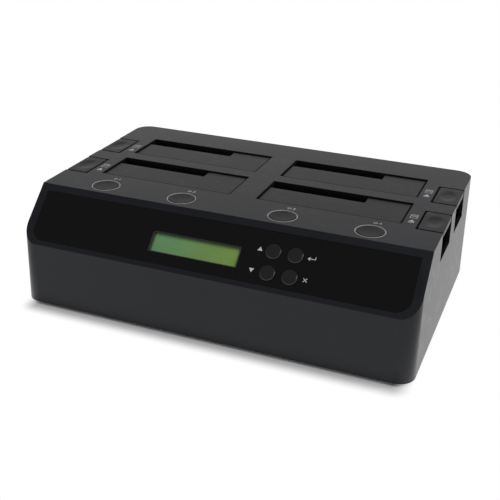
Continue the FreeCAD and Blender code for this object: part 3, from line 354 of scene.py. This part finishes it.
portFinish = finish("portNickel", (0.5, 0.49, 0.47), rough=0.25, grain=0.3, bump=0.01, metallic=1.0)
inletFinish = finish("inletBlack", (0.010, 0.010, 0.011), rough=0.45, grain=0.4, bump=0.02)
rockerFinish = finish("rockerBlack", (0.012, 0.012, 0.013), rough=0.28, grain=0.4, bump=0.01)
fanFinish = finish("fanBlack", (0.010, 0.010, 0.011), rough=0.45, grain=0.5, bump=0.02)
ringFinish = finish("ringClear", (0.34, 0.345, 0.35), rough=0.16, grain=0.4, bump=0.002, dust=0.0,
                    specular=0.9, coat=0.6)
inkFinish = finish("markInk", (0.58, 0.58, 0.60), rough=0.55, grain=0.25, bump=0.01, dust=0.0, specular=0.2)

# Screen: green that turns yellow to the right, with faint rows of character cells
screenLook = {"left": (0.088, 0.190, 0.088), "right": (0.125, 0.205, 0.048), "glow": 0.48,
              "turnsFrom": -0.047, "turnsTo": 0.022, "cell": 0.00375, "row": 0.0066, "gap": 0.05,
              "rim": 0.0022, "rimShadeTone": 0.3}


def makeScreenFinish():
    material = bpy.data.materials.new("screenGreen")
    material.use_nodes = True
    tree = material.node_tree
    shader = tree.nodes["Principled BSDF"]
    place = tree.nodes.new("ShaderNodeTexCoord")
    parts = tree.nodes.new("ShaderNodeSeparateXYZ")
    link(tree, place.outputs["Object"], parts.inputs[0])
    across = addRange(tree, parts.outputs["X"], screenLook["turnsFrom"], screenLook["turnsTo"], 0.0, 1.0,
                      "SMOOTHSTEP")
    blend = addNode(tree, "ShaderNodeMix", data_type="RGBA")
    blend.inputs["A"].default_value = (*screenLook["left"], 1)
    blend.inputs["B"].default_value = (*screenLook["right"], 1)
    link(tree, across, blend.inputs["Factor"])
    # Slow ripple of the polariser times the cell grid: the gap between cells is where the sawtooth is near 0
    ripple = addNode(tree, "ShaderNodeTexNoise", in_Scale=60.0, in_Detail=2.0)
    link(tree, place.outputs["Object"], ripple.inputs["Vector"])
    tone = addRange(tree, ripple.outputs["Fac"], 0.3, 0.7, 0.94, 1.06)
    for axis, pitch in (("X", screenLook["cell"]), ("Z", screenLook["row"])):
        phase = addMath(tree, "PINGPONG", addMath(tree, "DIVIDE", parts.outputs[axis], pitch), 0.5)
        tone = addMath(tree, "MULTIPLY", tone,
                       addRange(tree, phase, 0.03, 0.09, 1.0 - screenLook["gap"], 1.0, "SMOOTHSTEP"))
    # Painted shade along the rim: the tone darkens by the room left to the nearest edge, from the glass's own
    # corners
    low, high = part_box("lcd_glass")
    for axis, at in (("X", 0), ("Z", 2)):
        offset = addMath(tree, "SUBTRACT", parts.outputs[axis], (low[at] + high[at]) / 2)
        inward = addMath(tree, "ABSOLUTE", offset, 0)
        room = addMath(tree, "SUBTRACT", (high[at] - low[at]) / 2, inward)
        tone = addMath(tree, "MULTIPLY", tone,
                       addRange(tree, room, 0.0, screenLook["rim"], screenLook["rimShadeTone"], 1.0, "SMOOTHSTEP"))
    shade = addNode(tree, "ShaderNodeVectorMath", operation="SCALE")
    link(tree, blend.outputs["Result"], shade.inputs[0])
    link(tree, tone, shade.inputs["Scale"])
    link(tree, shade.outputs[0], shader.inputs["Base Color"])
    link(tree, shade.outputs[0], shader.inputs["Emission Color"])
    shader.inputs["Emission Strength"].default_value = screenLook["glow"]
    shader.inputs["Roughness"].default_value = 0.25
    shader.inputs["Specular IOR Level"].default_value = 0.3
    return material


screenFinish = makeScreenFinish()

# Nodes that stay as they are, each with its finish
worn = {
    "housing": shellFinish, "base_plate": baseFinish, "feet": footFinish, "base_screws": steelFinish,
    "board_screws": steelFinish, "fan_screws": steelFinish, "sata_sockets": socketFinish,
    "lever_pins": steelFinish, "lid_pins": steelFinish, "lid_springs": springFinish,
    "control_panel": panelFinish, "power_board": boardFinish,
    "power_switches": socketFinish, "lcd_bezel": bezelFinish, "lcd_glass": screenFinish,
    "lcd_module": boardFinish, "control_board": boardFinish, "key_switches": socketFinish,
    "main_board": boardFinish, "chips": socketFinish, "heat_sink": aluFinish, "usb_port": portFinish,
    "esata_port": portFinish, "power_inlet": inletFinish, "switch_body": inletFinish,
    "rocker": rockerFinish, "fan_frame": fanFinish, "fan_rotor": fanFinish,
}
for bay in bays:
    worn["bay_well_" + bay] = bayFinish
    worn["lid_" + bay] = lidFinish
    worn["eject_lever_" + bay] = leverFinish
for node, material in worn.items():
    wear(node, material)
print("finishes made", len(worn))

softEdges = {"housing": 0.0005, "lid": 0.0003}
soften(nodes["housing"], softEdges["housing"])
for bay in bays:
    soften(nodes["lid_" + bay], softEdges["lid"])

# Across, up the slope and out of it, from the middle of the slope's lower edge
slope = {"foot": 0.049, "front": -0.0955, "angle": math.radians(45), "panel": -0.0003}
slopePlace = Matrix.Translation((0, slope["front"], slope["foot"])) @ Matrix.Rotation(slope["angle"], 4, "X")
topHeight = 0.083

# Power caps: a shallow dish, a rounded rim (quarter circle) and a flat underside with its stem
capLook = {"radius": 0.00935, "edge": 0.0005, "thick": 0.0022, "dish": 0.00025, "stem": 0.0015,
           "reach": 0.0106, "steps": 96}
powerSpots = {"1": -0.1, "2": -0.0384, "3": 0.0384, "4": 0.1}
powerLine = -0.0474


def roundedRim(radius, edge, top):
    turn = np.linspace(0, np.pi / 2, 8)[1:]
    return np.stack([radius - edge + edge * np.sin(turn), top - edge + edge * np.cos(turn)], 1)


def makePowerCap(number, across):
    look = capLook
    inner = np.linspace(0, look["radius"] - look["edge"], 12)
    hollow = np.stack([inner, -look["dish"] * (1 - (inner / inner[-1]) ** 2)], 1)
    low = [[look["radius"], -look["thick"]], [look["stem"], -look["thick"]],
           [look["stem"], -look["reach"]], [0, -look["reach"]]]
    cap = turned("powerCap" + number, np.vstack([hollow, roundedRim(look["radius"], look["edge"], 0), low]),
                 Matrix.Translation((across, powerLine, topHeight)), look["steps"])
    dressPiece(cap, capFinish, "power_%s_body" % number, "power_plastic", "power_button_" + number)


for number, across in powerSpots.items():
    makePowerCap(number, across)

# Panel keys: nearly flat face with a generous rounded rim, a flange under the panel and a stem
keyLook = {"radius": 0.0055, "edge": 0.0008, "rise": 0.0006, "crown": 0.0001, "flange": 0.0061,
           "flangeTop": 0.002, "flangeLow": 0.003, "stem": 0.0015, "reach": 0.0096}
keySpots = {"up": (0.0425, 0.0284), "enter": (0.058, 0.0284),
            "down": (0.0425, 0.013), "escape": (0.058, 0.013)}


def makeKey(key, across, up):
    look = keyLook
    inner = np.linspace(0, look["radius"] - look["edge"], 8)
    face = np.stack([inner, look["rise"] - look["crown"] * (inner / inner[-1]) ** 2], 1)
    low = [[look["radius"], -look["flangeTop"]], [look["flange"], -look["flangeTop"]],
           [look["flange"], -look["flangeLow"]], [look["stem"], -look["flangeLow"]],
           [look["stem"], -look["reach"]], [0, -look["reach"]]]
    rim = roundedRim(look["radius"], look["edge"], look["rise"] - look["crown"])
    place = slopePlace @ Matrix.Translation((across, up, 0))
    cap = turned(key + "Cap", np.vstack([face, rim, low]), place)
    dressPiece(cap, keyFinish, key + "_body", "key_plastic", key + "_key")


for key, (across, up) in keySpots.items():
    makeKey(key, across, up)
print("caps and keys made")

# Light rings: a tube with a half-round bead on its top and a fine groove on each side of the bead
ringLook = {"outer": 0.01075, "inner": 0.00965, "bead": 0.00036, "middle": 0.01022, "top": 0.08315,
            "groove": 0.00055, "low": 0.0795, "steps": 120}


def makeRing(number, across):
    look = ringLook
    turn = np.linspace(np.pi, 0, 13)
    bead = np.stack([look["middle"] + look["bead"] * np.cos(turn),
                     look["top"] - look["bead"] + look["bead"] * np.sin(turn)], 1)
    floor = look["top"] - look["bead"] - look["groove"]
    inside = [[look["inner"], look["low"]], [look["inner"], floor], [look["middle"] - look["bead"], floor]]
    outside = [[look["middle"] + look["bead"], floor], [look["outer"], floor], [look["outer"], look["low"]],
               [look["inner"], look["low"]]]
    ring = turned("lightRing" + number, np.vstack([inside, bead, outside]),
                  Matrix.Translation((across, powerLine, 0)), look["steps"])
    dressPiece(ring, ringFinish, "dock", "ring_plastic", "light_rings")


for number, across in powerSpots.items():
    makeRing(number, across)
print("rings made")

# Eject pads: rounded plate with an oval finger dish, a stem below it and a push post below that
padLook = {"round": 0.0006, "square": 16, "thick": 0.0035, "dish": (0.0072, 0.0115, 0.0006),
           "slopeShare": 0.75, "topRows": 22, "stem": (0.011, 0.020), "stemLow": 0.0235,
           "post": (0.004, 0.006), "postShift": 0.0038, "overlap": 0.0003,
           "rays": 144, "stemRays": 72, "postRays": 48}


# Rounded rectangle seen from its middle: reach(t) = (|cos t / a|^n + |sin t / b|^n)^(-1/n)
def roundedOutline(wide, long, square, rays):
    turn = np.linspace(0, 2 * np.pi, rays, endpoint=False)
    terms = np.abs(np.cos(turn) / (wide / 2)) ** square + np.abs(np.sin(turn) / (long / 2)) ** square
    reach = terms ** (-1 / square)
    return np.stack([reach * np.cos(turn), reach * np.sin(turn)], 1)


# Rows of one outline: each row is (share of the outline, inset, height)
def outlineRows(wide, long, square, rays, rows):
    grid = []
    for share, inset, height in rows:
        flat = roundedOutline(wide - 2 * inset, long - 2 * inset, square, rays) * share
        grid.append(np.hstack([flat, np.full((rays, 1), height)]))
    return np.array(grid)


def makeEjectPad(bay):
    look = padLook
    low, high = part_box("eject_button_" + bay)
    wide, long = high[0] - low[0], high[1] - low[1]
    middle = Vector(((low[0] + high[0]) / 2, (low[1] + high[1]) / 2, topHeight))
    edge = look["round"]
    top = look["topRows"]
    rows = [(share, edge, 0.0) for share in np.linspace(0, 1, top)]
    for turn in np.linspace(0, np.pi / 2, 6)[1:]:
        rows.append((1, edge * (1 - math.sin(turn)), -edge * (1 - math.cos(turn))))
    rows += [(1, 0, -look["thick"]), (0, 0, -look["thick"])]
    plate = outlineRows(wide, long, look["square"], look["rays"], rows)
    # Dish: depth times the smooth step of (1 - q) / share, where q is the distance in dish radii
    across, along, depth = look["dish"]
    q = np.hypot(plate[:top, :, 0] / across, plate[:top, :, 1] / along)
    fall = np.clip((1 - q) / look["slopeShare"], 0, 1)
    plate[:top, :, 2] -= depth * fall * fall * (3 - 2 * fall)
    stemTop, postTop = look["overlap"] - look["thick"], look["overlap"] - look["stemLow"]
    stem = outlineRows(*look["stem"], look["square"], look["stemRays"],
                       [(0, 0, stemTop), (1, 0, stemTop), (1, 0, -look["stemLow"]), (0, 0, -look["stemLow"])])
    end = low[2] - topHeight
    post = outlineRows(*look["post"], look["square"], look["postRays"],
                       [(0, 0, postTop), (1, 0, postTop), (1, 0, end), (0, 0, end)])
    post[..., 1] += look["postShift"]
    place = Matrix.Translation(middle)
    pad = sheetMesh("ejectPad_" + bay, [moved(grid, place) for grid in (plate, stem, post)], 35)
    dressPiece(pad, padFinish, "eject_%s_body" % bay, "eject_plastic", "eject_button_" + bay)


for bay in bays:
    makeEjectPad(bay)
print("eject pads made")

# Printed marks: strokes with a flat section that stand a hair above the surface
markLook = {"rise": 0.00005, "line": 0.00042, "digit": 0.0026, "power": 0.00115,
            "arc": (125, 415), "stem": [(0, 0.15), (0, 1.35)], "powerShift": -0.0011, "digitShift": 0.0023,
            "beside": 0.001, "behind": 0.0147}
digits = {
    "1": [[(-0.22, 0.3), (0.05, 0.5), (0.05, -0.5)]],
    "2": [[(-0.3, 0.25), (-0.22, 0.44), (0, 0.5), (0.24, 0.42), (0.3, 0.22), (0.2, 0.0), (-0.3, -0.5),
           (0.34, -0.5)]],
    "3": [[(-0.3, 0.4), (-0.05, 0.5), (0.22, 0.42), (0.28, 0.24), (0.16, 0.06), (-0.08, 0.02), (0.2, -0.05),
           (0.32, -0.26), (0.22, -0.45), (-0.04, -0.5), (-0.32, -0.4)]],
    "4": [[(0.16, -0.5), (0.16, 0.5), (-0.34, -0.2), (0.38, -0.2)]],
}


# A stroke: a thin rectangle carried along a line; its side is the line's own normal, mitred at each bend
def strokeGrid(line, wide, rise):
    line = np.array(line, float)
    run = np.diff(line, axis=0)
    run /= np.linalg.norm(run, axis=1, keepdims=True)
    ahead, behind = np.vstack([run, run[-1:]]), np.vstack([run[:1], run])
    side = np.stack([-(ahead + behind)[:, 1], (ahead + behind)[:, 0]], 1)
    side /= np.linalg.norm(side, axis=1, keepdims=True)
    stretch = 1 / np.clip(np.sum(side * np.stack([-ahead[:, 1], ahead[:, 0]], 1), 1), 0.6, 1)
    side *= (wide / 2 * stretch)[:, None]
    flat = np.stack([line - side, line + side, line + side, line - side], 1)
    height = np.broadcast_to(np.array([0, 0, rise, rise])[:, None], (len(line), 4, 1))
    body = np.concatenate([flat, height], -1)
    caps = [np.repeat(body[end].mean(0)[None, None], 4, 1) for end in (0, -1)]
    return np.concatenate([caps[0], body, caps[1]])


# A filled flat shape: its outline drawn in to its middle, above and below
def plateGrid(outline, rise):
    outline = np.array(outline, float)
    middle = np.repeat(outline.mean(0)[None], len(outline), 0)
    rows = [(middle, 0), (outline, 0), (outline, rise), (middle, rise)]
    return np.array([np.hstack([flat, np.full((len(outline), 1), height)]) for flat, height in rows])


def makeMarks(name, grids, place, slot="shell_plastic"):
    marks = sheetMesh(name, [moved(grid, place) for grid in grids], 30)
    dressPiece(marks, inkFinish, "dock", slot)


def shifted(points, across, up, size=1.0):
    return np.array(points, float) * size + np.array([across, up])


def powerGrids(number, across, up):
    rise, line, size = markLook["rise"], markLook["line"], markLook["power"]
    start, end = np.radians(markLook["arc"])
    turn = np.linspace(start, end, 25)
    arc = np.stack([np.cos(turn), np.sin(turn)], 1)
    iconAt, digitAt = across + markLook["powerShift"], across + markLook["digitShift"]
    grids = [strokeGrid(shifted(path, iconAt, up, size), line, rise) for path in (arc, markLook["stem"])]
    for path in digits[number]:
        grids.append(strokeGrid(shifted(path, digitAt, up, markLook["digit"]), line, rise))
    return grids


deckPlace = Matrix.Translation((0, 0, topHeight))
for number, across in powerSpots.items():
    spot = (across + markLook["beside"], powerLine + markLook["behind"])
    makeMarks("powerMark" + number, powerGrids(number, *spot), deckPlace)

# Eject marks: a triangle over a bar, with the outline of a drive behind it
ejectLook = {"across": 0.1214, "wide": 0.0042, "tall": 0.0032, "arrowAt": -0.0062, "bar": 0.0008,
             "barLow": -0.0016, "drive": (0.0046, 0.0064), "driveAt": 0.0034, "disc": 0.0013,
             "discAt": 0.0042}


def ejectGrids(across, up):
    look, rise, line = ejectLook, markLook["rise"], markLook["line"]
    half = look["wide"] / 2
    arrow = shifted([(-half, 0), (half, 0), (0, look["tall"])], across, up + look["arrowAt"])
    barLow, barTop = look["barLow"], look["barLow"] + look["bar"]
    bar = shifted([(-half, barLow), (half, barLow), (half, barTop), (-half, barTop)],
                  across, up + look["arrowAt"])
    a, b = look["drive"][0] / 2, look["drive"][1] / 2
    box = shifted([(0, -b), (a, -b), (a, b), (-a, b), (-a, -b), (0, -b)], across, up + look["driveAt"])
    turn = np.linspace(0, 2 * np.pi, 17)
    circle = np.stack([np.cos(turn), np.sin(turn)], 1)
    disc = shifted(circle, across, up + look["discAt"], look["disc"])
    filled = [plateGrid(outline, rise) for outline in (arrow, bar)]
    return filled + [strokeGrid(outline, line, rise) for outline in (box, disc)]


for bay in bays:
    low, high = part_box("eject_button_" + bay)
    side = 1 if "right" in bay else -1
    makeMarks("ejectMark_" + bay, ejectGrids(side * ejectLook["across"], (low[1] + high[1]) / 2), deckPlace)

# Key marks on the panel: for each its place (across, up the slope), then the filled and the drawn outlines
keyMarkLine = 0.0005
keyMarks = {
    "up": ((0.0331, 0.0284), [[(-0.0018, -0.0012), (0.0018, -0.0012), (0, 0.0016)]], []),
    "down": ((0.0312, 0.013), [[(-0.0018, 0.0012), (0, -0.0016), (0.0018, 0.0012)]], []),
    "enter": ((0.0692, 0.0284), [[(-0.0028, -0.0004), (-0.001, -0.0018), (-0.001, 0.001)]],
              [[(0.0026, 0.0015), (0.0026, -0.0004), (-0.0014, -0.0004)]]),
    "leave": ((0.0686, 0.013), [], [[(-0.0013, -0.0013), (0.0013, 0.0013)],
                                    [(-0.0013, 0.0013), (0.0013, -0.0013)]]),
}


def keyMarkGrids():
    rise, grids = markLook["rise"], []
    for spot, filled, drawn in keyMarks.values():
        grids += [plateGrid(shifted(outline, *spot), rise) for outline in filled]
        grids += [strokeGrid(shifted(path, *spot), keyMarkLine, rise) for path in drawn]
    return grids


panelPlace = slopePlace @ Matrix.Translation((0, 0, slope["panel"]))
makeMarks("keyMarks", keyMarkGrids(), panelPlace, "panel_gloss")
print("marks made")

# Return springs under the eject pads: two folded leaves, each a strip carried along a cosine zigzag
springLook = {"leaf": 0.0008, "wide": 0.0024, "legs": 3, "points": 73, "travel": 0.007}


def makeEjectSpring(bay):
    look = springLook
    low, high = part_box("eject_spring_" + bay)
    tall, middle = high[2] - low[2], (low[0] + high[0]) / 2
    swing = (high[0] - low[0] - look["leaf"]) / 2
    turn = np.linspace(0, look["legs"], look["points"])
    line = np.stack([middle - swing * np.cos(np.pi * turn), low[2] + tall * turn / look["legs"]], 1)
    strip = strokeGrid(line, look["leaf"], look["wide"])
    grids = [moved(strip, Matrix.Translation((0, side, 0)) @ Matrix.Rotation(math.pi / 2, 4, "X"))
             for side in (low[1] + look["wide"], high[1])]
    spring = sheetMesh("ejectSpring_" + bay, grids, 35)
    dressPiece(spring, springFinish, "dock", "spring_steel", "eject_spring_" + bay)
    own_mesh(spring)


for bay in bays:
    makeEjectSpring(bay)
print("eject springs made")

# Studio: pale floor that turns pure white away from the object, soft lamps and a backdrop
studio = {"floor": 6.0, "grain": 40.0, "sky": 0.60, "ceiling": 0.20, "horizon": (0.05, 0.6),
          "shadowStart": 0.0005, "shadowEnd": 0.015, "footprint": (0.132, 0.0955), "aim": (0, 0, 0.04)}
# Lamps: place, size and power
lamps = {"backLamp": ((-0.5, 1.7, 1.2), 1.8, 1.3), "sideLamp": ((1.5, 0.2, 1.0), 0.9, 4.8),
         "fillLamp": ((-1.3, -1.3, 0.7), 1.0, 0.8), "topLamp": ((0.75, -0.95, 1.8), 0.6, 5.0)}


def makeFloor():
    half = studio["floor"] / 2
    points = np.array([[-half, -half, 0], [half, -half, 0], [half, half, 0], [-half, half, 0]])
    floor = addMesh("floor", points, [[0, 1, 2, 3]], smooth=False)
    material = bpy.data.materials.new("floorPaper")
    material.use_nodes = True
    tree = material.node_tree
    shader = tree.nodes["Principled BSDF"]
    shader.inputs["Roughness"].default_value = 0.9
    shader.inputs["Specular IOR Level"].default_value = 0.0
    grain = addNode(tree, "ShaderNodeTexNoise", in_Scale=studio["grain"], in_Detail=3.0)
    place = tree.nodes.new("ShaderNodeTexCoord")
    link(tree, place.outputs["Object"], grain.inputs["Vector"])
    link(tree, addRange(tree, grain.outputs["Fac"], 0.3, 0.7, 0.90, 0.92), shader.inputs["Base Color"])
    white = addNode(tree, "ShaderNodeEmission", in_Strength=1.0)
    # Distance from the middle of the object's footprint = length of max(|p| - half size, 0)
    spread = addNode(tree, "ShaderNodeVectorMath", operation="ABSOLUTE")
    link(tree, place.outputs["Object"], spread.inputs[0])
    beyond = addNode(tree, "ShaderNodeVectorMath", operation="SUBTRACT")
    link(tree, spread.outputs[0], beyond.inputs[0])
    beyond.inputs[1].default_value = (*studio["footprint"], 0)
    outside = addNode(tree, "ShaderNodeVectorMath", operation="MAXIMUM")
    link(tree, beyond.outputs[0], outside.inputs[0])
    outside.inputs[1].default_value = (0, 0, 0)
    span = addNode(tree, "ShaderNodeVectorMath", operation="LENGTH")
    link(tree, outside.outputs[0], span.inputs[0])
    fade = addRange(tree, span.outputs["Value"], studio["shadowStart"], studio["shadowEnd"], 0.0, 1.0,
                    "SMOOTHSTEP")
    path = tree.nodes.new("ShaderNodeLightPath")
    seen = addMath(tree, "ADD", path.outputs["Is Camera Ray"], path.outputs["Is Glossy Ray"], clamp=True)
    seen = addMath(tree, "ADD", seen, path.outputs["Is Transmission Ray"], clamp=True)
    mixer = tree.nodes.new("ShaderNodeMixShader")
    link(tree, addMath(tree, "MULTIPLY", seen, fade), mixer.inputs["Fac"])
    link(tree, shader.outputs[0], mixer.inputs[1])
    link(tree, white.outputs[0], mixer.inputs[2])
    link(tree, mixer.outputs[0], tree.nodes["Material Output"].inputs["Surface"])
    floor.data.materials.append(material)


def makeSky():
    world = bpy.data.worlds.new("studioSky")
    bpy.context.scene.world = world
    world.use_nodes = True
    tree = world.node_tree
    tree.nodes.clear()
    leave = tree.nodes.new("ShaderNodeOutputWorld")
    soft = addNode(tree, "ShaderNodeBackground", in_Strength=studio["sky"])
    white = addNode(tree, "ShaderNodeBackground", in_Strength=1.0, in_Color=(1, 1, 1, 1))
    # In reflections the backdrop is white near the floor and darkens towards the ceiling
    aim = tree.nodes.new("ShaderNodeTexCoord")
    parts = tree.nodes.new("ShaderNodeSeparateXYZ")
    link(tree, aim.outputs["Generated"], parts.inputs[0])
    mirror = tree.nodes.new("ShaderNodeBackground")
    low, high = studio["horizon"]
    link(tree, addRange(tree, parts.outputs["Z"], low, high, 1.0, studio["ceiling"], "SMOOTHSTEP"),
         mirror.inputs["Strength"])
    path = tree.nodes.new("ShaderNodeLightPath")
    glossMix = tree.nodes.new("ShaderNodeMixShader")
    link(tree, path.outputs["Is Glossy Ray"], glossMix.inputs["Fac"])
    link(tree, soft.outputs[0], glossMix.inputs[1])
    link(tree, mirror.outputs[0], glossMix.inputs[2])
    seen = addMath(tree, "ADD", path.outputs["Is Camera Ray"], path.outputs["Is Transmission Ray"],
                   clamp=True)
    mixer = tree.nodes.new("ShaderNodeMixShader")
    link(tree, seen, mixer.inputs["Fac"])
    link(tree, glossMix.outputs[0], mixer.inputs[1])
    link(tree, white.outputs[0], mixer.inputs[2])
    link(tree, mixer.outputs[0], leave.inputs["Surface"])


def makeLamp(name, place, size, power):
    data = bpy.data.lights.new(name, "AREA")
    data.energy = power
    data.size = size
    lamp = bpy.data.objects.new(name, data)
    bpy.context.scene.collection.objects.link(lamp)
    lamp.location = place
    aim = Vector(studio["aim"]) - Vector(place)
    lamp.rotation_euler = aim.to_track_quat("-Z", "Y").to_euler()


# Camera: place, turn about the vertical, tilt and roll in radians
lens = {"place": (0.2224, -0.5881, 0.3262), "turn": -0.3914, "tilt": 0.3866, "roll": 0.0150,
        "length": 65.08, "sensor": 36, "shift": (0.04, -0.10), "clip": (0.01, 50)}


def makeCamera():
    data = bpy.data.cameras.new("view")
    data.lens = lens["length"]
    data.sensor_width = lens["sensor"]
    data.shift_x, data.shift_y = lens["shift"]
    data.clip_start, data.clip_end = lens["clip"]
    camera = bpy.data.objects.new("view", data)
    bpy.context.scene.collection.objects.link(camera)
    aim = (Matrix.Rotation(-lens["turn"], 4, "Z") @ Matrix.Rotation(math.pi / 2 - lens["tilt"], 4, "X")
           @ Matrix.Rotation(lens["roll"], 4, "Z"))
    camera.matrix_world = Matrix.Translation(lens["place"]) @ aim
    bpy.context.scene.camera = camera


makeFloor()
makeSky()
for name, (place, size, power) in lamps.items():
    makeLamp(name, place, size, power)
makeCamera()
bpy.context.scene.view_settings.view_transform = "Standard"
print("studio made")
